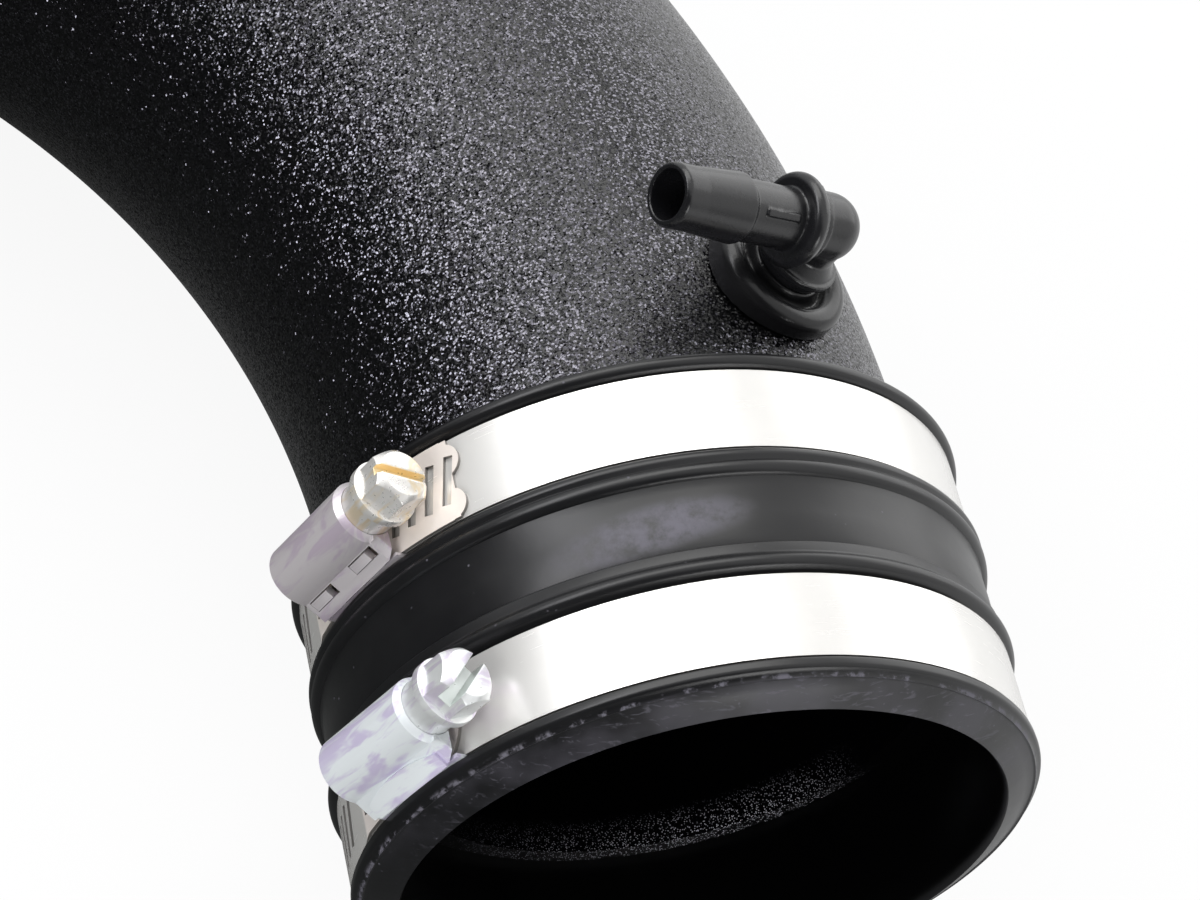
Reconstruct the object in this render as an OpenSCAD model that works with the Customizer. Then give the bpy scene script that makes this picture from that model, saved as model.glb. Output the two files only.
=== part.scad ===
// Air intake pipe: a textured bent duct, a rubber coupler held by two worm-drive
// clamps, and a moulded vent elbow pushed into a rubber grommet in the duct wall.
// The origin is the centre of the coupler's open mouth. +Y runs up the coupler
// into the duct, the duct bends toward -X, and +Z points up from the bend plane.

/* [Duct] */
// outside diameter of the duct
tube_od = 88.9; // [70:0.1:120]
// wall of the duct
tube_wall = 3.5; // [2:0.1:6]
// radius of the bend, to the centre line
bend_r = 190; // [140:1:300]
// angle that the bend turns through
bend_angle = 75; // [20:1:110]
// straight length at the far end
end_len = 60; // [40:1:120]

/* [Coupler] */
// length of the rubber coupler
coupler_len = 54.2; // [50:0.1:90]
// distance from the mouth to the end of the duct
tube_depth = 24; // [20:0.1:30]
// how far the bore of the mouth stands inside the duct's skin
mouth_step = 0.7; // [0.3:0.05:2]
// rubber under each clamp band
seat_wall = 4.65; // [3:0.05:7]
// length of the thick lip at the mouth
rim_len = 4.9; // [3:0.1:6]
// height of the lips above the clamp seats
lip_h = 1.6; // [0.8:0.1:1.6]

/* [Clamps] */
// width of the clamp bands
band_w = 12.7; // [10:0.1:13]
// thickness of the clamp bands
band_t = 0.6; // [0.4:0.05:0.7]
// pitch of the slots in the bands
slot_pitch = 3.175; // [2.8:0.005:3.8]
// turn of the upper clamp from the top toward the inside of the bend
upper_turn = 66; // [30:1:90]
// turn of the lower clamp from the top toward the inside of the bend
lower_turn = 62.5; // [30:1:90]
// length of the worm housings
housing_len = 18; // [16:0.1:20]
// radius of the worm over its threads
worm_r = 4; // [3.4:0.05:4.6]
// thickness of the housing sheet
sheet_t = 0.65; // [0.5:0.05:0.8]
// hexagon across flats of the screw heads
hex_af = 8; // [6:0.1:8.4]

/* [Vent] */
// angle of the vent round the bend
vent_station = 5.05; // [4.6:0.05:20]
// turn of the vent from the top toward the outside of the bend
vent_turn = 25; // [0:1:60]
// height of the nozzle's axis above the duct
vent_height = 12.4; // [10.5:0.1:18]
// reach of the nozzle from the stem's axis
vent_reach = 30.1; // [26:0.1:40]
// outside diameter of the hose end
hose_d = 9.3; // [8:0.05:10]
// bore of the hose end
hose_bore = 7.2; // [5:0.1:7.4]
// diameter of the grommet's rim
grommet_d = 22; // [20:0.1:26]

/* [Hidden] */
$fn = 64;
eps = 0.01;
tube_r = tube_od / 2;
tube_in = tube_r - tube_wall;
grain = 0.15;
skin_r = tube_r + grain;
join = 1;
seat_r = tube_r + seat_wall;
lip_r = seat_r + lip_h;
rim_r = seat_r + 0.9;
mid_r = seat_r + 0.35;
mouth_r = tube_r - mouth_step;
seat_w = band_w + 1.1;
lower_mid = rim_len + seat_w / 2 - 0.25;
top_lip = 2.8;
upper_mid = coupler_len - top_lip - seat_w / 2 + 0.2;
ridge_w = 4;
band_out = seat_r + band_t;
tail_out = band_out + band_t;
bite = 0.5;
axis_r = tail_out + worm_r - bite;
arch_in = worm_r + 0.35;
arch_out = arch_in + sheet_t;
foot_y = band_w / 2 + 0.9;
foot_z = band_out + lip_h - 0.3;
slope_dy = foot_y - arch_out;
slope_dz = axis_r - foot_z;
slope_len = sqrt(slope_dy * slope_dy + slope_dz * slope_dz);
slope_tilt = atan2(slope_dy, slope_dz);
saddle_t = 0.5;
wall_in = band_w / 2 + 0.02;
slot_step = slot_pitch / tail_out * 180 / PI;
half = housing_len / 2;
collar_r = 4.1 / 4 * worm_r;
flange_r = 4.95 / 4 * worm_r;
flange_x = sqrt(max(1, (tail_out + 0.07) * (tail_out + 0.07) - (axis_r - flange_r) * (axis_r - flange_r)));
collar_x = sqrt(max(1, (tail_out + 0.05) * (tail_out + 0.05) - (axis_r - collar_r) * (axis_r - collar_r)));
flange_t = 1.3;
head_h = 4.8;
tail_up = 24.5;
tail_low = 11.2;
rear_turn = 16;
step_len = 4.6;
lap_inset = 0.05;
slot_w = 1.45;
slot_len = 7.4;
slot_slant = -14;
rim_edge = 1;
window_len = 5.6;
tab_len = 3.9;
window_low = slope_len * 0.46;
window_h = slope_len * 0.5;
tip_r = 1.9;
tip_len = 3;
thread_h = 0.9;
thread_t = 0.5;
hex_edge = 0.5;
stem_r = 3.9;
stem_bore = 5.6;
vent_body_r = 5;
nozzle_r = 4.5;
vent_hole_r = 8;
weld_x = 5.2;
weld_r = 5.7;
weld_bead = 1.25;
hose_len = 12.4;
hose_x = vent_reach - hose_len;
dome_x = 0.3;
collar_z = vent_height - 6.1;
disc_r = 6.5;
disc_t = 1.2;
foot_r = 5.4;
bead_r = 2;
bead_z = 1.6;
dish_z = 0.9;
hub_z = 3.6;

// Turns a shape drawn round Z so that it runs along +Y.
module along_y() {
    rotate([-90, 0, 0]) children();
}

// Moves a shape to the far end of the bend, where the centre line runs along +Y.
module far_end() {
    translate([-bend_r, coupler_len, 0])
        rotate([0, 0, bend_angle])
        translate([bend_r, 0, 0])
        children();
}

// A ring section of the given radii, or a disc where the inner one is zero.
module ring_section(outer, inner) {
    difference() {
        circle(r = outer);
        if (inner > 0)
            circle(r = inner);
    }
}

// The bend of the duct, with the given radii.
module bend(outer, inner) {
    translate([-bend_r, coupler_len, 0])
        rotate_extrude(angle = bend_angle)
        translate([bend_r, 0])
        ring_section(outer, inner);
}

// A straight stretch of the duct along +Y, smooth where a coupler goes over it.
module straight(from, len) {
    along_y()
        translate([0, 0, from])
        linear_extrude(height = len)
        ring_section(tube_r, tube_in + grain);
}

// Frame of the vent: the origin on the duct's skin, +Z straight out of it,
// and -X along the nozzle.
module vent_frame() {
    translate([-bend_r, coupler_len, 0])
        rotate([0, 0, vent_station])
        translate([bend_r, 0, 0])
        rotate([0, vent_turn, 0])
        translate([0, 0, skin_r])
        children();
}

// The duct, with the hole for the grommet.
module intake_tube() {
    color([0.05, 0.05, 0.055])
    difference() {
        union() {
            straight(tube_depth, coupler_len - tube_depth + join);
            bend(skin_r, tube_in);
            far_end()
                straight(-join, end_len + join);
        }
        vent_frame()
            translate([0, 0, -tube_wall - 6])
            cylinder(r = vent_hole_r, h = tube_wall + 9);
    }
}

// Half section of the coupler: radius along X, distance from the mouth along Y.
module coupler_section() {
    difference() {
        union() {
            // wall under the seats
            square([seat_r, coupler_len]);
            // thick lip at the mouth
            translate([0, 0.9])
                square([rim_r, rim_len - 0.9]);
            translate([rim_r - 0.9, 0.9])
                circle(r = 0.9);
            // smooth part between the seats
            translate([0, rim_len + seat_w + 1])
                square([mid_r, upper_mid - seat_w / 2 - rim_len - seat_w - 2]);
            // ridge above the lower seat
            translate([0, rim_len + seat_w])
                square([rim_r - 0.9, ridge_w]);
            translate([rim_r - 1.1, rim_len + seat_w + 1.4])
                circle(r = 1.4);
            translate([rim_r - 1.5, rim_len + seat_w + 2.4])
                circle(r = 1.4);
            // double ridge below the upper seat
            translate([0, upper_mid - seat_w / 2 - 4.8])
                square([lip_r - 1.2, 4.8]);
            translate([lip_r - 1.2, upper_mid - seat_w / 2 - 1.2])
                circle(r = 1.2);
            translate([lip_r - 1.5, upper_mid - seat_w / 2 - 3.3])
                circle(r = 1.5);
            // lip over the duct
            translate([0, coupler_len - top_lip])
                square([lip_r - 1.2, top_lip]);
            translate([lip_r - 1.4, coupler_len - 1.4])
                circle(r = 1.4);
        }
        // bore of the mouth
        translate([0, -1])
            square([mouth_r, coupler_len]);
        // seat for the duct
        translate([0, tube_depth])
            square([tube_r, coupler_len]);
        // broken edge at the end of the lip
        translate([0, coupler_len - 0.6])
            square([tube_r + 0.5, 1]);
    }
}

module coupler() {
    color([0.03, 0.03, 0.032])
    difference() {
        along_y()
            rotate_extrude()
            intersection() {
                coupler_section();
                square([lip_r + 20, coupler_len]);
            }
        clamp_at(upper_mid, upper_turn)
            saddle_pocket();
        clamp_at(lower_mid, lower_turn)
            saddle_pocket();
    }
}

// Frame of a clamp: +Z out through its housing, +X toward the screw's head.
module clamp_at(mid, turn) {
    translate([0, mid, 0])
        rotate([0, -turn, 0])
        children();
}

// Room that the saddle presses into the rubber.
module saddle_pocket() {
    difference() {
        translate([-half - 0.2, -wall_in - saddle_t - 0.05, seat_r - 8])
            cube([housing_len + 0.4, 2 * (wall_in + saddle_t + 0.05), 12]);
        along_y()
            cylinder(r = seat_r - saddle_t, h = 60, center = true);
    }
}

// Section of the free tail in X and Z, with the step where it comes up behind
// the housing.
module tail_section(tail) {
    intersection() {
        ring_section(tail_out, seat_r + band_t / 2);
        polygon([[0, 0], turned(-rear_turn), turned((tail - rear_turn) / 2), turned(tail)]);
    }
    rotate(rear_turn)
        polygon([[0.1, band_out - band_t / 2], [0.1, tail_out], [0, tail_out],
                 [-step_len, band_out - band_t * 0.8], [-step_len + 1, band_out - band_t * 0.8]]);
}

// A point outside the band at a turn from the housing.
function turned(turn) = 1.3 * tail_out * [sin(turn), cos(turn)];

// One slanted slot at a turn from the housing.
module slot_cut(turn, r1, r2) {
    rotate([0, turn, 0])
        translate([0, 0, r1])
        rotate([0, 0, slot_slant])
        translate([-slot_w / 2, -slot_len / 2, 0])
        cube([slot_w, slot_len, r2 - r1]);
}

// The band: one strip round the coupler. Its slotted tail runs through the
// housing and lies on the plain end.
module band(tail, ending) {
    color([0.78, 0.77, 0.75])
    difference() {
        union() {
            rotate([90, 0, 0])
                linear_extrude(height = band_w, center = true)
                ring_section(band_out, seat_r);
            intersection() {
                rotate([90, 0, 0])
                    linear_extrude(height = band_w - 2 * lap_inset, center = true)
                    tail_section(tail);
                rotate([0, tail, 0])
                    linear_extrude(height = tail_out + 5)
                    tail_outline(ending);
            }
        }
        for (i = [-4 : 6])
            if (i * slot_step < tail - 2)
                slot_cut(i * slot_step, band_out, tail_out + 1);
        for (i = [7 : 27])
            slot_cut(-i * slot_step, seat_r - 1, band_out + 1);
    }
}

// Outline of the tail, seen from outside, with a wavy or a round end.
module tail_outline(ending) {
    if (ending == "wave") {
        translate([-tail_out, -band_w])
            square([tail_out - 2.6, 2 * band_w]);
        translate([-2.6, 3.1])
            circle(r = 2.6);
        translate([-2.6, -3.8])
            circle(r = 2.4);
        translate([-3.4, -6.2])
            square([1.9, 12.4]);
    } else {
        translate([-tail_out, -band_w])
            square([tail_out - 3.2, 2 * band_w]);
        translate([-8.2, 0])
            circle(r = 8.2);
    }
}

// The saddle: a strap pressed into the rubber under the band, with side walls
// and tabs that come up through the housing.
module saddle(style) {
    color([0.7, 0.7, 0.72])
    union() {
        intersection() {
            difference() {
                along_y()
                    cylinder(r = seat_r, h = 60, center = true);
                along_y()
                    cylinder(r = seat_r - saddle_t, h = 62, center = true);
            }
            translate([-half, -wall_in - saddle_t, seat_r - 8])
                cube([housing_len, 2 * (wall_in + saddle_t), 12]);
        }
        for (side = [0, 1])
            mirror([0, side, 0]) {
                saddle_wall();
                if (style == "window")
                    for (x = window_places())
                        saddle_tab(x + 0.15, tab_len);
                if (style == "flap")
                    saddle_flap();
            }
    }
}

// Side wall of the saddle beside the band.
module saddle_wall() {
    difference() {
        translate([-half, wall_in, seat_r - 8])
            cube([housing_len, saddle_t, band_out + 0.75 - seat_r + 8]);
        along_y()
            cylinder(r = seat_r - saddle_t, h = 60, center = true);
    }
}

// Frame on the housing's sloping side: +Y out of the sheet, +Z up the slope.
module slope_frame() {
    translate([0, foot_y, foot_z])
        rotate([slope_tilt, 0, 0])
        children();
}

// Where the housing's windows start along the screw.
function window_places() = [-half + 0.8, half - rim_edge - 0.4 - window_len];

// A tab of the saddle that stands in a window of the housing.
module saddle_tab(x, len) {
    slope_frame() {
        translate([x, -sheet_t - 0.5, -0.2])
            cube([len, 0.45, window_low + window_h]);
        translate([x, -sheet_t - 0.1, window_low + 0.1])
            cube([len, sheet_t + 0.22, window_h - 0.3]);
    }
}

// A side flap of the saddle that is folded up over the housing's foot.
module saddle_flap() {
    flap_len = housing_len - 3;
    slope_frame() {
        translate([-flap_len / 2, -sheet_t - 0.5, -0.2])
            cube([flap_len, 0.45, slope_len * 0.3 + 0.2]);
        translate([-flap_len / 2, -sheet_t - 0.5, -0.2])
            cube([flap_len, sheet_t + 0.5 + saddle_t, 0.2 - eps]);
        translate([0, 0, -0.2])
            rotate([90, 0, 180])
            linear_extrude(height = saddle_t)
            flap_outline(flap_len);
    }
}

// Outline of the flap, with an arched upper edge.
module flap_outline(flap_len) {
    intersection() {
        translate([-flap_len / 2, 0])
            square([flap_len, slope_len * 0.95 + 0.2]);
        translate([0, slope_len * 0.95 + 0.2 - 22])
            circle(r = 22);
    }
}

// Section of an arch: a half disc over the screw's axis on sloping sides.
module arch_section(r, y, z) {
    intersection() {
        translate([0, axis_r])
            circle(r = r);
        translate([-r, axis_r - join / 2])
            square([2 * r, r + join]);
    }
    polygon([[-r, axis_r], [-y, z], [y, z], [r, axis_r]]);
}

// Lays a section drawn in Y and Z along +X from one place to another.
module along_x(from, to) {
    translate([from, 0, 0])
        rotate([90, 0, 90])
        linear_extrude(height = to - from)
        children();
}

// The outer form of the housing, with its edge rolled in at the screw's end.
module housing_form() {
    difference() {
        union() {
            intersection() {
                translate([0, 0, axis_r])
                    rotate([0, 90, 0])
                    union() {
                        translate([0, 0, -half])
                            cylinder(r = arch_out, h = housing_len - rim_edge);
                        translate([0, 0, half - rim_edge - eps])
                            cylinder(r1 = arch_out + eps, r2 = arch_out - rim_edge, h = rim_edge + eps);
                    }
                translate([-half - 1, -arch_out - 1, axis_r - join / 2])
                    cube([housing_len + 2, 2 * arch_out + 2, arch_out + join]);
            }
            along_x(-half, half)
                polygon([[-arch_out, axis_r], [-foot_y, foot_z], [foot_y, foot_z], [arch_out, axis_r]]);
        }
        for (side = [0, 1])
            mirror([0, side, 0])
                slope_frame()
                translate([half, 0, -1])
                rotate([0, 0, 45])
                translate([-rim_edge * sqrt(0.5), -5, 0])
                cube([5, 10, slope_len + 1]);
    }
}

// The housing: a folded sheet arch over the worm, open underneath.
module housing(style) {
    inner_z = foot_z - sheet_t * 0.7;
    color([0.62, 0.6, 0.63])
    difference() {
        housing_form();
        // hollow for the worm
        along_x(-half + 0.8, half - 1.1)
            arch_section(arch_in, foot_y - sheet_t * cos(slope_tilt), inner_z);
        // hollow at the screw's collar
        along_x(half - 1.5, half + 1)
            translate([0, axis_r])
            circle(r = collar_r + 0.05);
        // hollow at the worm's tip
        along_x(-half - 1, -half + 1)
            translate([0, axis_r])
            circle(r = tip_r + 0.05);
        if (style == "window")
            for (side = [0, 1], x = window_places())
                mirror([0, side, 0])
                    slope_frame()
                    translate([x, -sheet_t - 0.6, window_low])
                    cube([window_len, sheet_t + 1.4, window_h]);
    }
}

// The screw: worm, collar, washer face and slotted hexagon head. The threads
// are rings at the slots' pitch.
module screw(head_turn, slot_width, slot_depth) {
    head_x = flange_x + flange_t;
    color([0.8, 0.74, 0.55])
    translate([0, 0, axis_r])
    rotate([head_turn, 0, 0])
    difference() {
        rotate([0, 90, 0])
        union() {
            translate([0, 0, -half - 0.5])
                cylinder(r = tip_r, h = tip_len);
            translate([0, 0, -half + 1.1])
                cylinder(r = worm_r - thread_h, h = half - 1.1 + collar_x + 0.5);
            for (i = [-2 : 2])
                translate([0, 0, i * slot_pitch - thread_t / 2])
                    cylinder(r = worm_r, h = thread_t);
            translate([0, 0, collar_x])
                cylinder(r = collar_r, h = flange_x - collar_x + eps);
            translate([0, 0, flange_x])
                cylinder(r = flange_r, h = flange_t);
            intersection() {
                translate([0, 0, head_x - eps])
                    cylinder(r = hex_af / 2 / cos(30), h = head_h, $fn = 6);
                translate([0, 0, head_x - eps - 1])
                    cylinder(r1 = hex_af / 2 + head_h + 0.4, r2 = hex_af / 2 - hex_edge, h = head_h + 1);
            }
        }
        translate([head_x + head_h - slot_depth, -hex_af, -slot_width / 2])
            cube([slot_depth + 1, 2 * hex_af, slot_width]);
    }
}

module upper_clamp_band() {
    clamp_at(upper_mid, upper_turn) band(tail_up, "wave");
}

module upper_clamp_saddle() {
    clamp_at(upper_mid, upper_turn) saddle("window");
}

module upper_clamp_housing() {
    clamp_at(upper_mid, upper_turn) housing("window");
}

module upper_clamp_screw() {
    clamp_at(upper_mid, upper_turn) screw(85, 1.3, 1.3);
}

module lower_clamp_band() {
    clamp_at(lower_mid, lower_turn) band(tail_low, "round");
}

module lower_clamp_saddle() {
    clamp_at(lower_mid, lower_turn) saddle("flap");
}

module lower_clamp_housing() {
    clamp_at(lower_mid, lower_turn) housing("plain");
}

module lower_clamp_screw() {
    clamp_at(lower_mid, lower_turn) screw(-40, 2, 3.2);
}

// Half section of the grommet's outer part: a bead round a dish, whose floor
// sweeps up to the elbow's foot.
module grommet_section() {
    bead_at = grommet_d / 2 - bead_r;
    translate([0, -2.4])
        square([bead_at, dish_z + 2.4]);
    translate([bead_at, -2.4])
        square([bead_r, bead_z + 2.4]);
    translate([bead_at, bead_z])
        circle(r = bead_r);
    polygon([[0, 0], [bead_at - 0.6, dish_z - 0.1], [foot_r + 1.5, dish_z + 0.45], [foot_r + 0.7, dish_z + 1.3],
             [foot_r + 0.25, hub_z], [0, hub_z]]);
}

// The grommet: a dished rubber rim outside the duct, a neck through its wall
// and a flange inside.
module grommet() {
    color([0.035, 0.035, 0.037])
    difference() {
        union() {
            difference() {
                vent_frame()
                    rotate_extrude()
                    grommet_section();
                bend(skin_r, 0);
            }
            vent_frame()
                translate([0, 0, -tube_wall - 1.2])
                cylinder(r = vent_hole_r - 0.05, h = tube_wall + 1.7);
            intersection() {
                vent_frame()
                    translate([0, 0, -tube_wall - 3.4])
                    cylinder(r = grommet_d / 2 - 1, h = 4);
                bend(tube_in, 0);
            }
        }
        vent_frame()
            translate([0, 0, -tube_wall - 8])
            cylinder(r = stem_r + 0.05, h = tube_wall + 20);
    }
}

// The elbow half of the vent: stem, collar, body and domed end.
module vent_elbow() {
    color([0.04, 0.04, 0.042])
    vent_frame()
    difference() {
        union() {
            translate([0, 0, -tube_wall - 5.5])
                cylinder(r = stem_r, h = vent_height + tube_wall + 5.5);
            difference() {
                union() {
                    translate([0, 0, hub_z])
                        cylinder(r = foot_r, h = collar_z - disc_t / 2 - hub_z);
                    translate([0, 0, collar_z + 0.1 - disc_t])
                        cylinder(r = disc_r, h = disc_t);
                    translate([0, 0, collar_z])
                        cylinder(r1 = disc_r - 0.6, r2 = stem_r + 0.5, h = 1.9);
                }
                // room for the weld flange
                translate([-weld_x + 0.02, 0, vent_height])
                    rotate([0, -90, 0])
                    cylinder(r = weld_r + weld_bead + 0.1, h = 10);
            }
            translate([0, 0, collar_z])
                cylinder(r = stem_r + 0.5, h = vent_height - collar_z);
            translate([-dome_x, 0, vent_height])
                sphere(r = vent_body_r);
            translate([-dome_x, 0, vent_height])
                rotate([0, -90, 0])
                cylinder(r = vent_body_r, h = weld_x - dome_x);
            translate([-weld_x + 1.7, 0, vent_height])
                rotate([0, -90, 0])
                cylinder(r = vent_body_r + 0.45, h = 1.7);
            // barb that holds the stem in the grommet
            translate([0, 0, -tube_wall - 5.2])
                cylinder(r1 = stem_r - 0.2, r2 = stem_r + 0.8, h = 1.6);
            // gate mark on the dome
            translate([-dome_x, 0, vent_height])
                rotate([0, 98, 0])
                cylinder(r = 0.8, h = vent_body_r + 0.5);
        }
        translate([0, 0, -tube_wall - 6])
            cylinder(d = stem_bore, h = vent_height + tube_wall + 6);
        translate([0, 0, vent_height])
            sphere(d = stem_bore);
        translate([0, 0, vent_height])
            rotate([0, -90, 0])
            cylinder(d = stem_bore, h = weld_x + 1);
    }
}

// The nozzle half of the vent: weld flange, body with a short rib, hose end.
module vent_nozzle() {
    color([0.04, 0.04, 0.042])
    vent_frame()
    translate([0, 0, vent_height])
    rotate([0, -90, 0])
    difference() {
        union() {
            translate([0, 0, weld_x + weld_bead + 0.05])
                rotate_extrude()
                translate([weld_r, 0])
                circle(r = weld_bead);
            translate([0, 0, weld_x])
                cylinder(r = weld_r, h = 2 * weld_bead + 0.05);
            translate([0, 0, weld_x])
                cylinder(r = weld_r + 0.8, h = 0.6);
            translate([0, 0, weld_x])
                cylinder(r = nozzle_r, h = hose_x - weld_x + 0.5);
            // step up to the hose end, which tapers to a true round
            translate([0, 0, hose_x - 0.7])
                cylinder(r1 = nozzle_r - 0.05, r2 = hose_d / 2 + 0.5, h = 0.7 + eps);
            translate([0, 0, hose_x])
                cylinder(r1 = hose_d / 2 + 0.5, r2 = hose_d / 2, h = hose_len - 4);
            translate([0, 0, vent_reach - 4.5])
                cylinder(r = hose_d / 2, h = 3.9);
            translate([0, 0, vent_reach - 0.6 - eps])
                cylinder(r1 = hose_d / 2, r2 = hose_d / 2 - 0.4, h = 0.6 + eps);
            // short rib on the side that faces up and out
            rotate([0, 0, 50])
                translate([-0.55, -nozzle_r - 0.45, weld_x + 4.2])
                cube([1.1, 1.2, 6]);
        }
        translate([0, 0, -1])
            cylinder(d = stem_bore, h = hose_x + 1);
        translate([0, 0, hose_x])
            cylinder(d = hose_bore, h = hose_len + 1);
    }
}

intake_tube();
coupler();
upper_clamp_band();
upper_clamp_saddle();
upper_clamp_housing();
upper_clamp_screw();
lower_clamp_band();
lower_clamp_saddle();
lower_clamp_housing();
lower_clamp_screw();
grommet();
vent_elbow();
vent_nozzle();
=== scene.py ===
import math

import bmesh
import bpy
from mathutils import Matrix, Vector


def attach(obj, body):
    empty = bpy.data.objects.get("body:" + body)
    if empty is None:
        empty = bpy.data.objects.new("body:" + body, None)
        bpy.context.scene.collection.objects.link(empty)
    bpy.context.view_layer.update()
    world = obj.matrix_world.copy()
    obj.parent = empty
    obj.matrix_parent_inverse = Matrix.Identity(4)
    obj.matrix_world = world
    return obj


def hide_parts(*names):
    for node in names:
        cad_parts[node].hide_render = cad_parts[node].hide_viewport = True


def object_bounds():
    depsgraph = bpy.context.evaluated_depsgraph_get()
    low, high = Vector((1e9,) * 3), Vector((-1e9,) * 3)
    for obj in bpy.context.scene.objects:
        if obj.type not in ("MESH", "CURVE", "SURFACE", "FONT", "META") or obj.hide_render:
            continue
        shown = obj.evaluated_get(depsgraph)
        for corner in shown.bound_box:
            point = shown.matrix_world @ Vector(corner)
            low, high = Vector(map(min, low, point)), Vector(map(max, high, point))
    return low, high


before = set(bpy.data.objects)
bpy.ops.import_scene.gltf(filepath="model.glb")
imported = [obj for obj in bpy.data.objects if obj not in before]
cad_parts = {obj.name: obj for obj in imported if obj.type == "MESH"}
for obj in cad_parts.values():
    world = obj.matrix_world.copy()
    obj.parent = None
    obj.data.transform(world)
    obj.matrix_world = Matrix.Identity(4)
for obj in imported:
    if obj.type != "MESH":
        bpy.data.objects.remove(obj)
cad_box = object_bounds()
scene = bpy.context.scene

# The studio.
# The pipe lies on its side on a pale sheet, seen from above the coupler's mouth
# through a long lens. Soft boxes hang behind it and on its left, a white card
# stands on its right and a small one before the mouth, and a fill on the left
# lights dull surfaces without a reflection in the black ones.
scene.view_settings.view_transform = "Standard"

lens = bpy.data.cameras.new("lens")
lens.sensor_fit, lens.sensor_width, lens.lens = "HORIZONTAL", 36.0, 104.674
lens.clip_start, lens.clip_end = 0.01, 30.0
camera = bpy.data.objects.new("camera", lens)
camera.matrix_world = Matrix((
    (0.958836, 0.064918, -0.276441, -0.147122),
    (-0.205843, 0.829513, -0.519169, -0.204727),
    (0.195608, 0.554701, 0.808730, 0.429696),
    (0, 0, 0, 1)))
scene.collection.objects.link(camera)
scene.camera = camera


def soft_box(name, place, aim, width, height, radiance, tint, mirrored=True):
    """A rectangular lamp of an even radiance that faces a point."""
    lamp = bpy.data.lights.new(name, "AREA")
    lamp.shape, lamp.size, lamp.size_y = "RECTANGLE", width, height
    lamp.energy = radiance * math.pi * width * height
    lamp.color = tint
    stand = bpy.data.objects.new(name, lamp)
    stand.visible_camera, stand.visible_glossy = False, mirrored
    toward = (Vector(aim) - Vector(place)).to_track_quat("-Z", "Y")
    stand.matrix_world = Matrix.Translation(place) @ toward.to_matrix().to_4x4()
    scene.collection.objects.link(stand)


soft_box("soft_box_top", (-0.10, 0.75, 1.05), (-0.03, 0.08, 0), 1.0, 0.8, 2.6, (1, 0.995, 0.98))
soft_box("soft_box_left", (-0.82, 0.38, 1.02), (-0.03, 0.10, 0), 0.80, 0.42, 4.6, (0.97, 0.97, 1))
soft_box("card_right", (0.95, 0.65, 0.30), (0, 0.05, 0), 1.3, 0.8, 1.2, (1, 1, 1))
soft_box("fill_left", (-0.85, -0.60, 0.28), (-0.03, 0.05, 0), 1.2, 1.1, 3.4, (1, 1, 1), mirrored=False)
soft_box("card_front", (0.30, -1.05, 0.20), (0, 0, 0.04), 0.50, 0.35, 5.0, (1, 1, 1))


class Out:
    """An output socket that can be used in a sum: each operator adds a Math node."""

    def __init__(self, tree, socket):
        self.tree, self.socket = tree, socket

    def maths(self, operation, *values):
        node = self.tree.nodes.new("ShaderNodeMath")
        node.operation = operation
        for socket, value in zip(node.inputs, values):
            plug(self.tree, socket, value)
        return Out(self.tree, node.outputs[0])

    def __add__(self, b): return self.maths("ADD", self, b)
    def __radd__(self, b): return self.maths("ADD", b, self)
    def __sub__(self, b): return self.maths("SUBTRACT", self, b)
    def __rsub__(self, b): return self.maths("SUBTRACT", b, self)
    def __mul__(self, b): return self.maths("MULTIPLY", self, b)
    def __rmul__(self, b): return self.maths("MULTIPLY", b, self)
    def __truediv__(self, b): return self.maths("DIVIDE", self, b)
    def __pow__(self, b): return self.maths("POWER", self, b)
    def least(self, b): return self.maths("MINIMUM", self, b)
    def most(self, b): return self.maths("MAXIMUM", self, b)
    def between(self, low, high):
        """0 below low, 1 above high, and a smooth step from one to the other."""
        return add(self.tree, "ShaderNodeMapRange", {"interpolation_type": "SMOOTHSTEP"},
                   {"Value": self, "From Min": low, "From Max": high})


def plug(tree, socket, value):
    """Links or sets one input socket."""
    if isinstance(value, Out):
        tree.links.new(value.socket, socket)
    else:
        socket.default_value = value


def add(tree, kind, settings=None, inputs=None, out=0):
    """Adds a node: its settings first, then the values or links of its sockets."""
    node = tree.nodes.new(kind)
    for name, value in (settings or {}).items():
        setattr(node, name, value)
    for name, value in (inputs or {}).items():
        socket = node.inputs[name]
        if isinstance(name, str) and not socket.enabled:
            socket = next(s for s in node.inputs if s.name == name and s.enabled)
        plug(tree, socket, value)
    return Out(tree, node.outputs[out])


world = bpy.data.worlds.new("studio_air")
world.use_nodes = True
scene.world = world
air = world.node_tree
air.nodes.clear()
path = air.nodes.new("ShaderNodeLightPath")
heading = add(air, "ShaderNodeTexCoord")
split = air.nodes.new("ShaderNodeSeparateXYZ")
air.links.new(heading.socket, split.inputs[0])
toward_x, toward_y, toward_z = (Out(air, s) for s in split.outputs)

# The room is bright behind and above the pipe, and dark on the left and toward the lens.
glow = 0.03 + 0.90 * (toward_x * 0.50 + toward_y * 0.70 + toward_z * 0.5).between(-0.05, 0.45)
air_light = add(air, "ShaderNodeBackground", None, {"Color": (0.97, 0.985, 1, 1), "Strength": glow})
air_seen = add(air, "ShaderNodeBackground", None, {"Color": (1, 1, 1, 1), "Strength": 1.0})
bright_side = (toward_x * 0.75 + toward_y * 0.25 + toward_z * 0.4).between(0.15, 0.60)
mirrored = Out(air, path.outputs["Is Glossy Ray"]).most(Out(air, path.outputs["Is Transmission Ray"]))
air_mix = air.nodes.new("ShaderNodeMixShader")
plug(air, air_mix.inputs[0], Out(air, path.outputs["Is Camera Ray"]).most(mirrored * bright_side))
air.links.new(air_light.socket, air_mix.inputs[1])
air.links.new(air_seen.socket, air_mix.inputs[2])
air_out = air.nodes.new("ShaderNodeOutputWorld")
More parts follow.
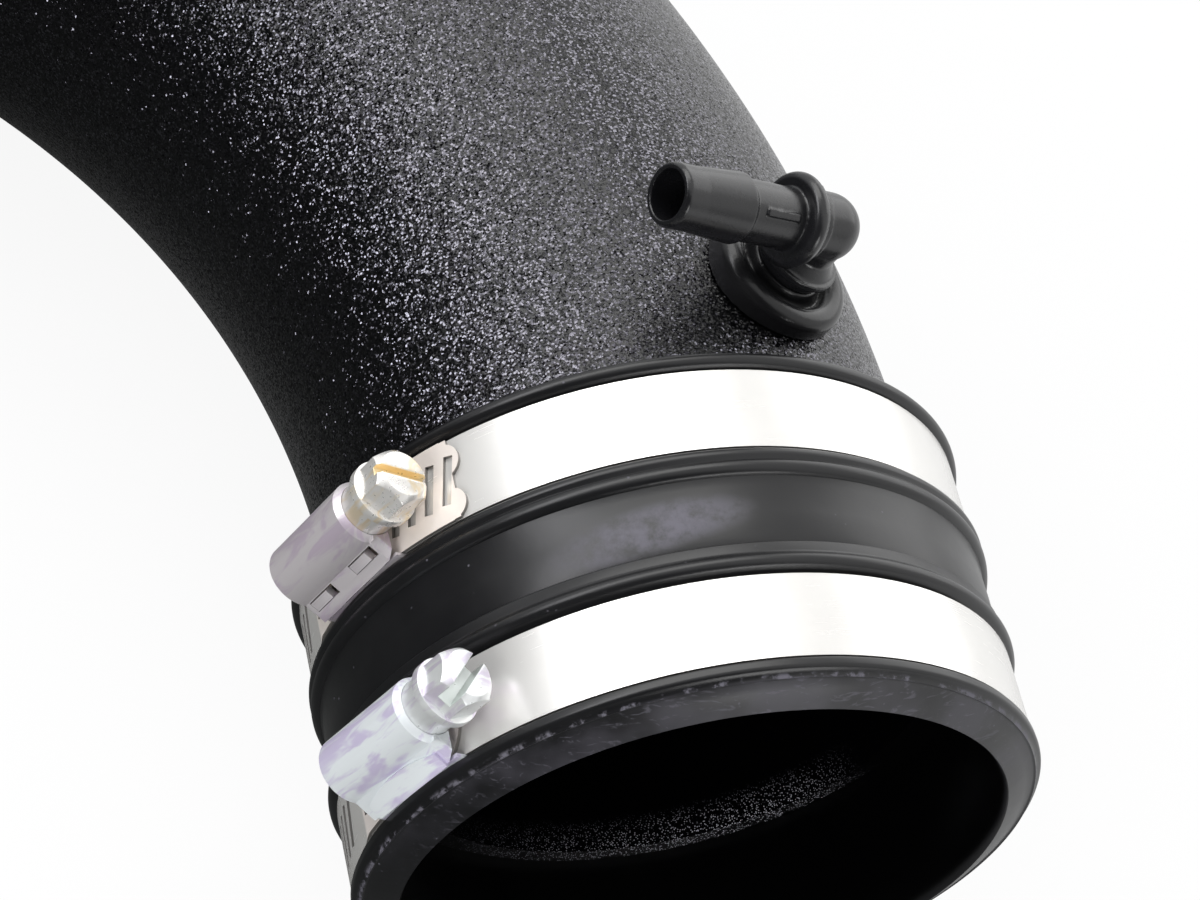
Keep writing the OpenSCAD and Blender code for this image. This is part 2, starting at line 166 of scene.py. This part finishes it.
air.links.new(air_mix.outputs[0], air_out.inputs[0])

# The sheet under the pipe: white to the eye, with a trace of the pipe's shadow.
SHEET_HALF, SHEET_GAP = 4.0, 0.0002
corners = [(x * SHEET_HALF, y * SHEET_HALF, cad_box[0][2] - SHEET_GAP)
           for x, y in ((-1, -1), (1, -1), (1, 1), (-1, 1))]
sheet_mesh = bpy.data.meshes.new("sheet")
sheet_mesh.from_pydata(corners, [], [(0, 1, 2, 3)])
sheet = bpy.data.objects.new("sheet", sheet_mesh)
scene.collection.objects.link(sheet)
paper = bpy.data.materials.new("white_sheet")
paper.use_nodes = True
tree = paper.node_tree
tree.nodes.clear()
on_sheet = tree.nodes.new("ShaderNodeSeparateXYZ")
tree.links.new(add(tree, "ShaderNodeTexCoord", out=3).socket, on_sheet.inputs[0])
sheet_x, sheet_y = (Out(tree, s) for s in on_sheet.outputs[:2])
way = tree.nodes.new("ShaderNodeLightPath")
by_eye = Out(tree, way.outputs["Is Camera Ray"])
mirrored = Out(tree, way.outputs["Is Glossy Ray"]).most(Out(tree, way.outputs["Is Transmission Ray"]))
lit_side = (sheet_x + sheet_y * 0.15).between(-0.10, 0.25)
lit = add(tree, "ShaderNodeBsdfDiffuse", None, {"Color": add(tree, "ShaderNodeMix", {"data_type": "RGBA"}, {
    0: lit_side.most(by_eye), 6: (0.05, 0.053, 0.05, 1), 7: (0.82, 0.82, 0.82, 1)}, out=2)})
seen = add(tree, "ShaderNodeEmission", None, {"Color": (1, 1, 1, 1), "Strength": 1.0})
mask = by_eye * 0.90 + mirrored * lit_side * 0.5
both = tree.nodes.new("ShaderNodeMixShader")
plug(tree, both.inputs[0], mask)
plug(tree, both.inputs[1], lit)
plug(tree, both.inputs[2], seen)
tree.links.new(both.outputs[0], tree.nodes.new("ShaderNodeOutputMaterial").inputs[0])
sheet_mesh.materials.append(paper)

# The duct.
# A bent duct of black moulded plastic, 89 mm across, with a fine pebbled grain
# all over that glitters where the light strikes it. The inlet end is pushed into
# the coupler, and the vent's grommet sits in a hole near that end.
DUCT_R, DUCT_WALL, BEND_R, BEND = 0.04445, 0.0035, 0.190, math.radians(75)
INLET_FROM, BEND_FROM, FAR_LEN = 0.024, 0.0542, 0.060
RINGS, RING_POINTS = 170, 168


class Finish:
    """A material in the making: its tree, and the sockets of its surface."""

    def __init__(self, name, **sockets):
        self.material = bpy.data.materials.new(name)
        self.material.use_nodes = True
        self.tree = self.material.node_tree
        self.skin = self.tree.nodes["Principled BSDF"]
        for key, value in sockets.items():
            self.set(key.replace("_", " ").title().replace("Ior", "IOR"), value)
        self.place = self.add("ShaderNodeTexCoord", out=3)

    def add(self, kind, settings=None, inputs=None, out=0):
        return add(self.tree, kind, settings, inputs, out)

    def set(self, name, value):
        plug(self.tree, self.skin.inputs[name], value)

    def noise(self, scale, detail=2.0, rough=0.5, at=None, distort=0.0):
        return self.add("ShaderNodeTexNoise", None, {
            "Vector": at or self.place, "Scale": scale, "Detail": detail,
            "Roughness": rough, "Distortion": distort})

    def cells(self, scale, out=0):
        """A cell pattern: the distance from a cell's middle, or with out=1 its own colour."""
        return self.add("ShaderNodeTexVoronoi", None, {"Vector": self.place, "Scale": scale}, out)

    def colours(self, factor, first, second):
        return self.add("ShaderNodeMix", {"data_type": "RGBA"}, {
            0: factor, 6: first if isinstance(first, Out) else (*first, 1),
            7: second if isinstance(second, Out) else (*second, 1)}, out=2)

    def stretched(self, x, y, z):
        return self.add("ShaderNodeMapping", None, {"Vector": self.place, "Scale": (x, y, z)})

    def axes(self):
        node = self.tree.nodes.new("ShaderNodeSeparateXYZ")
        self.tree.links.new(self.place.socket, node.inputs[0])
        return [Out(self.tree, s) for s in node.outputs]

    def vector(self, operation, *values):
        return self.add("ShaderNodeVectorMath", {"operation": operation}, dict(enumerate(values)))

    def relief(self, height, depth, strength=1.0, over=None):
        inputs = {"Height": height, "Distance": depth, "Strength": strength}
        if over:
            inputs["Normal"] = over
        self.set("Normal", self.add("ShaderNodeBump", None, inputs))


# Each cell of the grain is a facet that leans its own way, most a little and a
# few far over, and the brighter a cell's own colour is, the more it shines.
GRAIN_CELLS, EASY_LEAN, FAR_LEAN = 3600.0, 0.14, 3.4
duct_grain = Finish("duct_grain", specular_ior_level=0.42)
facets = duct_grain.cells(GRAIN_CELLS, out=1)
off_centre = duct_grain.vector("SUBTRACT", facets, (0.5, 0.5, 0.5))
cubed = duct_grain.vector("MULTIPLY", duct_grain.vector("MULTIPLY", off_centre, off_centre), off_centre)
lean = duct_grain.vector("ADD", duct_grain.vector("MULTIPLY", off_centre, (EASY_LEAN,) * 3),
                         duct_grain.vector("MULTIPLY", cubed, (FAR_LEAN,) * 3))
skin_normal = duct_grain.add("ShaderNodeNewGeometry", out=1)
lean = duct_grain.vector("NORMALIZE", duct_grain.vector("ADD", lean, skin_normal))
shine = duct_grain.add("ShaderNodeSeparateXYZ", None, {"Vector": facets}).between(0.58, 1.0)
pebble = duct_grain.noise(1900, 2.0, 0.6)
patch = duct_grain.noise(24, 2.0)
duct_grain.set("Base Color", duct_grain.colours(shine, (0.0016, 0.0016, 0.0019), (0.20, 0.195, 0.225)))
duct_grain.set("Metallic", (shine * 8.0).least(1.0))
duct_grain.set("Roughness", 0.19 - shine * 0.04 + patch * 0.05)
duct_grain.relief(pebble, 0.00010, 1.0, over=lean)

# The duct is one skin swept along its centre line, then given its wall.
sweep = bpy.data.node_groups.new("duct_sweep", "GeometryNodeTree")
sweep.is_modifier = True
sweep.interface.new_socket("Geometry", in_out="OUTPUT", socket_type="NodeSocketGeometry")
DUCT_SIZES = (("Inlet From", INLET_FROM), ("Bend From", BEND_FROM), ("Bend Radius", BEND_R),
              ("Bend Angle", BEND), ("Far Length", FAR_LEN), ("Skin Radius", DUCT_R))
for label, size in DUCT_SIZES:
    sweep.interface.new_socket(label, in_out="INPUT", socket_type="NodeSocketFloat").default_value = size
group_in = sweep.nodes.new("NodeGroupInput")
inlet_from, bend_from, bend_radius, bend_angle, far_length, skin_radius = (
    Out(sweep, group_in.outputs[label]) for label, _ in DUCT_SIZES)
run = (bend_from - inlet_from) + bend_radius * bend_angle + far_length
line = add(sweep, "GeometryNodeCurvePrimitiveLine", None, {
    "Start": (0, 0, 0), "End": add(sweep, "ShaderNodeCombineXYZ", None, {"Y": run})})
line = add(sweep, "GeometryNodeResampleCurve", None, {"Curve": line, "Count": RINGS})
along = sweep.nodes.new("GeometryNodeInputPosition")
parts = sweep.nodes.new("ShaderNodeSeparateXYZ")
sweep.links.new(along.outputs[0], parts.inputs[0])
walked = Out(sweep, parts.outputs["Y"])
first = bend_from - inlet_from
turned = ((walked - first).most(0.0) / bend_radius).least(bend_angle)
over = (walked - first - bend_radius * bend_angle).most(0.0)
cos_turned, sin_turned = turned.maths("COSINE", turned), turned.maths("SINE", turned)
cos_end, sin_end = turned.maths("COSINE", bend_angle), turned.maths("SINE", bend_angle)
spot = add(sweep, "ShaderNodeCombineXYZ", None, {
    "X": bend_radius * (cos_turned - 1.0) - over * sin_end,
    "Y": inlet_from + walked.least(first) + bend_radius * sin_turned + over * cos_end})
line = add(sweep, "GeometryNodeSetPosition", None, {"Geometry": line, "Position": spot})
hoop = add(sweep, "GeometryNodeCurvePrimitiveCircle", None, {"Resolution": RING_POINTS, "Radius": skin_radius})
skin = add(sweep, "GeometryNodeCurveToMesh", None, {"Curve": line, "Profile Curve": hoop})
skin = add(sweep, "GeometryNodeRealizeInstances", None, {"Geometry": skin})
skin = add(sweep, "GeometryNodeSetMaterial", None, {"Geometry": skin, "Material": duct_grain.material})
sweep.links.new(skin.socket, sweep.nodes.new("NodeGroupOutput").inputs[0])


def plain_mesh(name, obj):
    """The evaluated shape of an object as a new plain object at the origin."""
    bpy.context.view_layer.update()
    graph = bpy.context.evaluated_depsgraph_get()
    mesh = bpy.data.meshes.new_from_object(obj.evaluated_get(graph), depsgraph=graph)
    mesh.name = name
    result = bpy.data.objects.new(name, mesh)
    scene.collection.objects.link(result)
    bpy.data.objects.remove(obj)
    return result


def outward(obj):
    """Merges doubles and turns the faces outward."""
    shell = bmesh.new()
    shell.from_mesh(obj.data)
    bmesh.ops.remove_doubles(shell, verts=shell.verts, dist=1e-6)
    bmesh.ops.recalc_face_normals(shell, faces=shell.faces)
    shell.to_mesh(obj.data)
    shell.free()


blank = bpy.data.objects.new("duct_line", bpy.data.meshes.new("duct_line"))
scene.collection.objects.link(blank)
blank.modifiers.new("sweep", "NODES").node_group = sweep
duct = plain_mesh("duct", blank)
outward(duct)
wall = duct.modifiers.new("wall", "SOLIDIFY")
wall.thickness, wall.offset, wall.use_even_offset = DUCT_WALL, -1.0, True

# The hole for the vent's grommet, cut square to the skin at the vent's place.
VENT_AT, VENT_TURN = math.radians(5.05), math.radians(25)
HOLE_R, HOLE_CUT, SKIN_LIFT = 0.008, 0.016, 0.00015
vent_frame = (Matrix.Translation((-BEND_R, BEND_FROM, 0)) @ Matrix.Rotation(VENT_AT, 4, "Z")
              @ Matrix.Translation((BEND_R, 0, 0)) @ Matrix.Rotation(VENT_TURN, 4, "Y")
              @ Matrix.Translation((0, 0, DUCT_R + SKIN_LIFT)))
punch_mesh = bpy.data.meshes.new("punch")
punch = bmesh.new()
bmesh.ops.create_cone(punch, cap_ends=True, segments=64, radius1=HOLE_R, radius2=HOLE_R,
                      depth=HOLE_CUT, matrix=vent_frame)
punch.to_mesh(punch_mesh)
punch.free()
punch_object = bpy.data.objects.new("punch", punch_mesh)
scene.collection.objects.link(punch_object)
hole = duct.modifiers.new("hole", "BOOLEAN")
hole.operation, hole.object, hole.solver = "DIFFERENCE", punch_object, "EXACT"
duct = plain_mesh("duct", duct)
bpy.data.objects.remove(punch_object)

# The inside is painted nearly black as shade, with a painted sheen of bright flecks just above the duct's end.
INNER_FACES = DUCT_R - 0.001
# The inner wall's near-black colour and faint specular are painted shade of the bore, not a different plastic.
inside = Finish("duct_inside", roughness=0.35, specular_ior_level=0.08)
sheen_flecks = inside.cells(3000).between(0.34, 0.16)
inner_x, inner_y, inner_z = inside.axes()
# A patch of bright flecks on the lower inner wall near the end is a painted sheen, where light falls in
# through the mouth.
painted_sheen = sheen_flecks * (1.0 - inner_y.between(0.0245, 0.0300)) * (0.0 - inner_z).between(0.020, 0.036)
painted_sheen = painted_sheen * inner_x.between(-0.035, 0.015)
inside.set("Base Color", inside.colours(painted_sheen, (0.0008, 0.0008, 0.0010), (0.80, 0.80, 0.90)))
duct.data.materials.clear()
duct.data.materials.append(duct_grain.material)
duct.data.materials.append(inside.material)
for face in duct.data.polygons:
    x, y, z = face.center
    swing = min(max(math.atan2(y - BEND_FROM, x + BEND_R), 0), BEND)
    across = (x + BEND_R) * math.cos(swing) + (y - BEND_FROM) * math.sin(swing) - BEND_R
    face.material_index = int(math.hypot(across, z) < INNER_FACES)
duct.data.shade_smooth()
duct.data.set_sharp_from_angle(angle=math.radians(35))
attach(duct, "pipe")
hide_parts("intake_tube")

# The coupler.
# A moulded sleeve of black rubber, open at the mouth and pushed over the duct.
# Two seats for the clamps lie between raised ridges, and the mouth's edge is a
# little worn, with dust on the smooth part between the clamps. A broken bright
# line along the lip's flash is a painted highlight, and the bore just inside the
# mouth is painted darker as shade.
coupler_rubber = Finish("coupler_rubber", specular_ior_level=0.5)
px, py, pz = coupler_rubber.axes()
mottle = coupler_rubber.noise(90, 4.0, 0.6)
lint = coupler_rubber.cells(420).between(0.10, 0.05)
rare = coupler_rubber.noise(160, 0.0).between(0.58, 0.64)
smudge_x, smudge_y = (px + 0.0125) / 0.013, (py - 0.0285 - px * 0.10) / 0.0034
smudge = (1.0 - (smudge_x * smudge_x + smudge_y * smudge_y)).between(-0.6, 0.9)
smudge = smudge * pz.between(0.04, 0.046) * (coupler_rubber.noise(260, 5.0, 0.65).between(0.30, 0.62))
radius = (px * px + pz * pz) ** 0.5
# The broken bright line along the lip's flash ridge is a painted highlight.
broken = coupler_rubber.noise(420, 4.0, 0.7).between(0.47, 0.60)
flash_highlight = radius.between(0.04875, 0.04905) * (1.0 - py.between(0.0026, 0.0031)) * broken
scratched = coupler_rubber.noise(900, 3.0, 0.6, at=coupler_rubber.stretched(0.3, 1.0, 1.0), distort=1.2)
worn_edge = (1.0 - py.between(0.0022, 0.0026)) * pz.between(0.0, 0.04)
rubbed = coupler_rubber.noise(75, 3.0).between(0.35, 0.65)
scuffed = worn_edge * (scratched.between(0.56, 0.68) * 0.40 + rubbed * 0.30)
# Dust, lint and scuffs are the rubber's own marks; the flash line mixed in with them is a painted highlight.
dust_and_highlight = (smudge * 0.95).most(lint * rare * 0.6).most(flash_highlight * 0.9).most(scuffed)
# The bore just inside the mouth is painted darker: painted shade in the recess.
bore = (1.0 - radius.between(0.0444, 0.0447)) * py.between(0.0004, 0.0015)
dust_and_highlight = dust_and_highlight * (1.0 - bore)
rubber = coupler_rubber.colours(mottle, (0.0040, 0.0040, 0.0046), (0.0090, 0.0090, 0.0100))
rubber = coupler_rubber.colours(bore, rubber, (0.0008, 0.0008, 0.0009))
coupler_rubber.set("Base Color", coupler_rubber.colours(dust_and_highlight, rubber, (0.115, 0.110, 0.135)))
coupler_rubber.set("Roughness", 0.25 + mottle * 0.12 + dust_and_highlight * 0.35)
fine = coupler_rubber.noise(1500, 3.0, 0.6)
waves = coupler_rubber.noise(130, 2.0)
coupler_rubber.relief(fine * 0.12 + waves, 0.00010, 0.6)


def arc(cx, cy, r, start, stop, steps):
    """Points of an arc in a half section: radius across, distance along."""
    return [(cx + r * math.cos(math.radians(start + (stop - start) * i / steps)),
             cy + r * math.sin(math.radians(start + (stop - start) * i / steps))) for i in range(steps + 1)]


def turn(name, section, segments, material):
    """Revolves a half section round the Y axis, in millimetres, into a closed shell."""
    points = [(r / 1000, y / 1000) for r, y in section]
    angles = [2 * math.pi * i / segments for i in range(segments)]
    verts = [(r * math.sin(a), y, r * math.cos(a)) for a in angles for r, y in points]
    n = len(points)
    faces = []
    for i in range(segments):
        here, ahead = i * n, ((i + 1) % segments) * n
        faces += [(here + j, here + (j + 1) % n, ahead + (j + 1) % n, ahead + j) for j in range(n)]
    mesh = bpy.data.meshes.new(name)
    mesh.from_pydata(verts, [], faces)
    obj = bpy.data.objects.new(name, mesh)
    scene.collection.objects.link(obj)
    outward(obj)
    mesh.materials.append(material)
    mesh.shade_smooth()
    return obj


SEAT, WAIST, SOCKET, AROUND = 49.1, 49.4, 44.6, 288
sleeve = (
    # The mouth's conical face, the flash at its rim, and the rounded lip.
    [(44.35, 0.0), (45.6, 0.62), (47.2, 1.50), (48.55, 2.38), (48.72, 2.40), (48.95, 2.28), (49.08, 2.50)]
    + [(49.25, 2.92)] + arc(49.35, 3.80, 0.75, -60, 0, 5) + [(50.06, 4.10)]
    + arc(49.7, 4.5, 0.36, 10, 70, 3)
    # The lower clamp's seat, and the ridge above it.
    + [(SEAT, 5.0), (SEAT, 18.3)] + arc(49.5, 19.9, 1.17, -80, 60, 10) + [(49.75, 21.6)]
    + arc(49.1, 22.2, 1.0, 30, 85, 4)
    # The smooth waist, and the double ridge under the upper clamp.
    + [(WAIST, 24.2), (49.45, 28.0), (WAIST, 32.4)]
    + arc(49.3, 34.9, 1.37, -75, 45, 9) + [(50.30, 36.0)] + arc(49.5, 36.8, 1.15, -20, 65, 8)
    # The upper clamp's seat, the last ridge, and the end round the duct.
    + [(SEAT, 38.1), (SEAT, 51.2)] + arc(49.5, 52.6, 1.17, -75, 90, 12) + [(45.2, 54.1)]
    + arc(45.0, 53.8, 0.4, 90, 180, 4)
    # The socket for the duct, its step, and the bore back to the mouth.
    + [(SOCKET, 40.0), (SOCKET, 24.0), (43.85, 24.0)]
    + [(43.78, 16.0), (43.75, 8.0), (43.76, 2.1), (43.85, 1.7), (44.1, 0.25)])
coupler = turn("coupler_sleeve", sleeve, AROUND, coupler_rubber.material)
coupler.data.set_sharp_from_angle(angle=math.radians(50))
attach(coupler, "pipe")
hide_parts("coupler")

# The clamps.
# Each clamp is a strip of stainless steel rolled into a loop, a saddle under it,
# a folded housing and a screw whose worm draws the slotted tail through. The
# bands are bright rolled strip, and the small pieces are zinc plated.
UPPER_MID, UPPER_TURN = 0.0447, math.radians(66)
LOWER_MID, LOWER_TURN = 0.01155, math.radians(62.5)
AXIS_R, TAIL_FROM, TAIL_FULL = 0.0538, 0.04985, 0.05015
FOLD_ROUND, STRAP_ROUND = 0.00018, 0.00010


def rolled(name, tone, tail_tone, rough):
    """Bright rolled strip: fine lines run round the loop, with a few faint stains."""
    steel = Finish(name)
    x, y, z = steel.axes()
    round_loop = x.maths("ARCTAN2", x, z)
    strip = steel.add("ShaderNodeCombineXYZ", None, {"X": round_loop * 4.0, "Y": y * 5200.0})
    lines = steel.noise(1.0, 3.0, 0.6, at=strip)
    stains = steel.noise(70, 3.0, 0.6)
    lapped = ((x * x + z * z) ** 0.5).between(TAIL_FROM, TAIL_FULL)
    plain = steel.colours(stains.between(0.35, 0.75), tone, tuple(c * 0.93 for c in tone))
    steel.set("Base Color", steel.colours(lapped * (0.55 + stains * 0.7), plain, tail_tone))
    steel.set("Roughness", rough + lines * 0.07 + stains * 0.05)
    steel.set("Metallic", 0.60 - lapped * 0.30)
    steel.relief(lines * 0.5 + steel.noise(400, 2.0) * 0.5, 0.000012, 0.5)
    return steel.material


def plated(name, along, tone, tint, amount, rough, shine, slot=None, slot_tone=None):
    """Zinc plate: a grey metal with passes of another hue and dull, pitted spots."""
    zinc = Finish(name, metallic=shine)
    x, y, z = zinc.axes()
    lengthwise, across = x * along[0] + z * along[2], x * along[2] - z * along[0]
    streaked = zinc.add("ShaderNodeCombineXYZ", None, {
        "X": lengthwise * 90.0, "Y": across * 330.0, "Z": y * 330.0})
    cloud = zinc.noise(1.0, 3.0, 0.6, at=streaked, distort=0.7)
    spots = zinc.noise(1500, 2.0, 0.6)
    colour = zinc.colours(cloud.between(0.47, 0.62) * amount, tone, tint)
    if slot:
        way, centre, half, floor = slot
        off = x * way[0] + y * way[1] + z * way[2] - centre.dot(way)
        height = lengthwise - centre.dot(along)
        in_slot = 1.0 - (off * off).between(half * half, (half + 0.00012) ** 2)
        colour = zinc.colours(in_slot * height.between(floor - 0.0002, floor), colour, slot_tone)
    zinc.set("Base Color", colour)
    zinc.set("Roughness", rough + spots * 0.16 + cloud * 0.08)
    zinc.relief(spots * 0.5 + cloud * 0.6, 0.00002, 0.6)
    return zinc.material


SLOT_DEPTH, SLOT_REACH = 0.0025, 0.0012


def head_slot(mesh, centre, along):
    """The slot of a screw's head: the way across it, the axis, half its width and its floor."""
    top = max((v.co - centre).dot(along) for v in mesh.vertices)
    walls = [f for f in mesh.polygons if abs(f.normal.dot(along)) < 0.1
             and (f.center - centre).dot(along) > top - SLOT_DEPTH
             and abs((f.center - centre).dot(f.normal)) < SLOT_REACH]
    way = Vector((0, 0, 0))
    for f in walls:
        way += f.normal * f.area * (1 if f.normal.dot(walls[0].normal) > 0 else -1)
    way.normalize()
    half = sum(abs((f.center - centre).dot(way)) * f.area for f in walls) / sum(f.area for f in walls)
    floor = min((mesh.vertices[i].co - centre).dot(along) for f in walls for i in f.vertices)
    return way, centre, half, floor


# The cut edges' dark grey is partly dull sheared steel and partly a painted shadow line round the tail and the
# slots.
sheared_edge_shade = rolled("sheared_edge_shade", (0.24, 0.23, 0.22), (0.24, 0.22, 0.20), 0.42)
TAIL_TONE = {"upper": (0.90, 0.82, 0.76), "lower": (0.84, 0.77, 0.73)}
HOUSING_ZINC = {
    "upper": dict(tone=(0.70, 0.66, 0.68), tint=(0.56, 0.46, 0.58), amount=0.70, rough=0.24, shine=0.50),
    "lower": dict(tone=(0.76, 0.80, 0.82), tint=(0.55, 0.48, 0.68), amount=0.85, rough=0.30, shine=0.25)}
SCREW_ZINC = {
    "upper": dict(tone=(0.90, 0.88, 0.85), tint=(0.84, 0.68, 0.42), amount=0.7, rough=0.18, shine=0.65,
                  slot_tone=(0.95, 0.79, 0.50)),
    "lower": dict(tone=(0.88, 0.90, 0.90), tint=(0.60, 0.50, 0.68), amount=0.6, rough=0.20, shine=0.60,
                  slot_tone=(0.74, 0.78, 0.76))}


def from_solid(node, name):
    """A merged copy of a solid's mesh, with its flat faces whole again."""
    copy = bpy.data.objects.new(name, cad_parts[node].data.copy())
    scene.collection.objects.link(copy)
    shell = bmesh.new()
    shell.from_mesh(copy.data)
    bmesh.ops.remove_doubles(shell, verts=shell.verts, dist=2e-6)
    bmesh.ops.dissolve_limit(shell, angle_limit=math.radians(0.8), verts=shell.verts, edges=shell.edges)
    shell.to_mesh(copy.data)
    shell.free()
    return copy


def round_edges(obj, width, segments=2, over=30):
    """Rounds the edges that turn by more than an angle, and bakes the result."""
    bevel = obj.modifiers.new("edges", "BEVEL")
    bevel.width, bevel.segments = width, segments
    bevel.limit_method, bevel.angle_limit = "ANGLE", math.radians(over)
    bevel.harden_normals = True
    bevel.use_clamp_overlap = True
    obj.data.shade_smooth()
    return plain_mesh(obj.name, obj)


def dress(obj, material, slot, body, *nodes):
    """Gives a piece its finish, hangs it on its body and hides the solids it stands for."""
    obj.data.materials.clear()
    obj.data.materials.append(material)
    for face in obj.data.polygons:
        face.material_index = 0
    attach(obj, body)
    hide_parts(*nodes)


for clamp, mid, turned in (("upper", UPPER_MID, UPPER_TURN), ("lower", LOWER_MID, LOWER_TURN)):
    along = Vector((math.cos(turned), 0, math.sin(turned)))
    axis_at = Vector((-math.sin(turned), 0, math.cos(turned))) * AXIS_R + Vector((0, mid, 0))
    band_steel = rolled(f"{clamp}_band_steel", (0.84, 0.825, 0.80), TAIL_TONE[clamp], 0.20)
    band = from_solid(f"{clamp}_clamp_band", f"{clamp}_band")
    mesh = band.data
    # The strip's two faces shade as one smooth loop, and its cut edges take a dark finish: dull sheared steel,
    # darkened into a painted shadow line round the tail and the slots.
    normals, cut_faces = [], []
    mesh.shade_smooth()
    for face in mesh.polygons:
        if abs(face.normal.dot(Vector((face.center.x, 0, face.center.z)).normalized())) < 0.9:
            cut_faces.append(face.index)
        for i in face.loop_indices:
            x, y, z = mesh.vertices[mesh.loops[i].vertex_index].co
            away = Vector((x, 0, z)).normalized()
            facing = face.normal.dot(away)
            normals.append(away * (1 if facing > 0 else -1) if abs(facing) > 0.97 else face.normal.copy())
    mesh.normals_split_custom_set(normals)
    dress(band, band_steel, "band_steel", "pipe", f"{clamp}_clamp_band")
    band.data.materials.append(sheared_edge_shade)
    for i in cut_faces:
        band.data.polygons[i].material_index = 1
    saddle = round_edges(from_solid(f"{clamp}_clamp_saddle", f"{clamp}_saddle"), STRAP_ROUND)
    dress(saddle, plated(f"{clamp}_saddle_zinc", along, **HOUSING_ZINC[clamp]), "saddle_steel", "pipe",
          f"{clamp}_clamp_saddle")
    housing = round_edges(from_solid(f"{clamp}_clamp_housing", f"{clamp}_housing"), FOLD_ROUND, 3)
    dress(housing, plated(f"{clamp}_housing_zinc", along, **HOUSING_ZINC[clamp]), f"{clamp}_housing_steel",
          "pipe", f"{clamp}_clamp_housing")
    screw = from_solid(f"{clamp}_clamp_screw", f"{clamp}_screw")
    slot = head_slot(screw.data, axis_at, along)
    screw = round_edges(screw, FOLD_ROUND, 3)
    dress(screw, plated(f"{clamp}_screw_zinc", along, slot=slot, **SCREW_ZINC[clamp]),
          f"{clamp}_screw_steel", f"{clamp}_screw", f"{clamp}_clamp_screw")

# The vent.
# A small breather elbow of moulded black plastic in two welded halves. Its stem
# is pushed into a dished rubber grommet that grips the edge of the duct's hole.
vent_plastic = Finish("vent_plastic", specular_ior_level=0.6)
scuff = vent_plastic.noise(240, 4.0, 0.6)
vent_plastic.set("Base Color", vent_plastic.colours(
    scuff, (0.0045, 0.0045, 0.0052), (0.010, 0.010, 0.0115)))
vent_plastic.set("Roughness", 0.20 + scuff * 0.14)
vent_plastic.relief(vent_plastic.noise(2200, 3.0, 0.6), 0.00003, 0.5)

grommet_rubber = Finish("grommet_rubber", specular_ior_level=0.42)
worn = grommet_rubber.noise(300, 4.0, 0.6)
grommet_rubber.set("Base Color", grommet_rubber.colours(
    worn, (0.006, 0.006, 0.0065), (0.011, 0.011, 0.012)))
grommet_rubber.set("Roughness", 0.16 + worn * 0.16)
grommet_rubber.relief(grommet_rubber.noise(1700, 3.0, 0.6), 0.00004, 0.5)


def moulded(node, name, voxel, soften):
    """A solid's copy with its inner corners filled and its edges softened, as a mould leaves them."""
    piece = from_solid(node, name)
    remesh = piece.modifiers.new("skin", "REMESH")
    remesh.mode, remesh.voxel_size, remesh.use_smooth_shade = "VOXEL", voxel, True
    smooth = piece.modifiers.new("soft", "SMOOTH")
    smooth.factor, smooth.iterations = 0.5, soften
    return plain_mesh(name, piece)


elbow = moulded("vent_elbow", "vent_stem", 0.00020, 6)
dress(elbow, vent_plastic.material, "vent_plastic", "pipe", "vent_elbow")
nozzle = moulded("vent_nozzle", "vent_spout", 0.00018, 5)
dress(nozzle, vent_plastic.material, "vent_plastic", "pipe", "vent_nozzle")
grommet = moulded("grommet", "vent_grommet", 0.00022, 4)
dress(grommet, grommet_rubber.material, "grommet_rubber", "pipe", "grommet")
